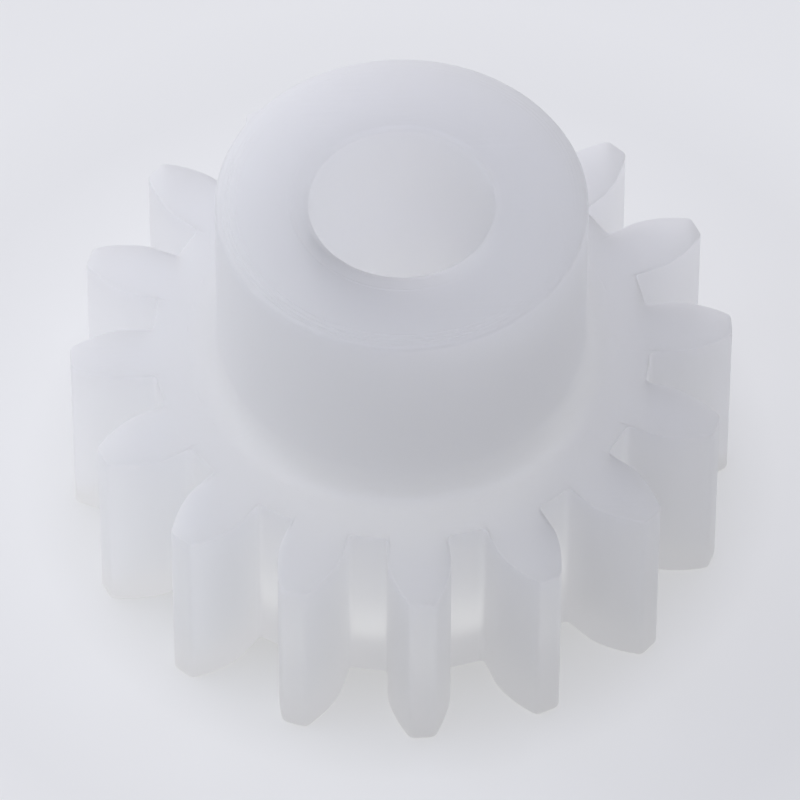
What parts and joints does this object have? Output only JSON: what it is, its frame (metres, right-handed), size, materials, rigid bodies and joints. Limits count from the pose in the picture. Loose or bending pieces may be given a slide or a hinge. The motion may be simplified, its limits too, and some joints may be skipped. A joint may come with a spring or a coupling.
{
  "type": "spur gear",
  "caption": "Small white translucent plastic spur gear with full-depth involute teeth, a raised round hub on one side and a plain through bore.",
  "frame": {"origin": "centre of the flat bottom face, on the bore's axis", "axes": "+Z along the bore's axis towards the hub's end face; one tooth is centred on +X"},
  "size_m": [0.018, 0.018, 0.012],
  "materials": {
    "natural_plastic": "satin"
  },
  "bodies": {
    "root": {"spur_gear": "natural_plastic"}
  },
  "joints": []
}
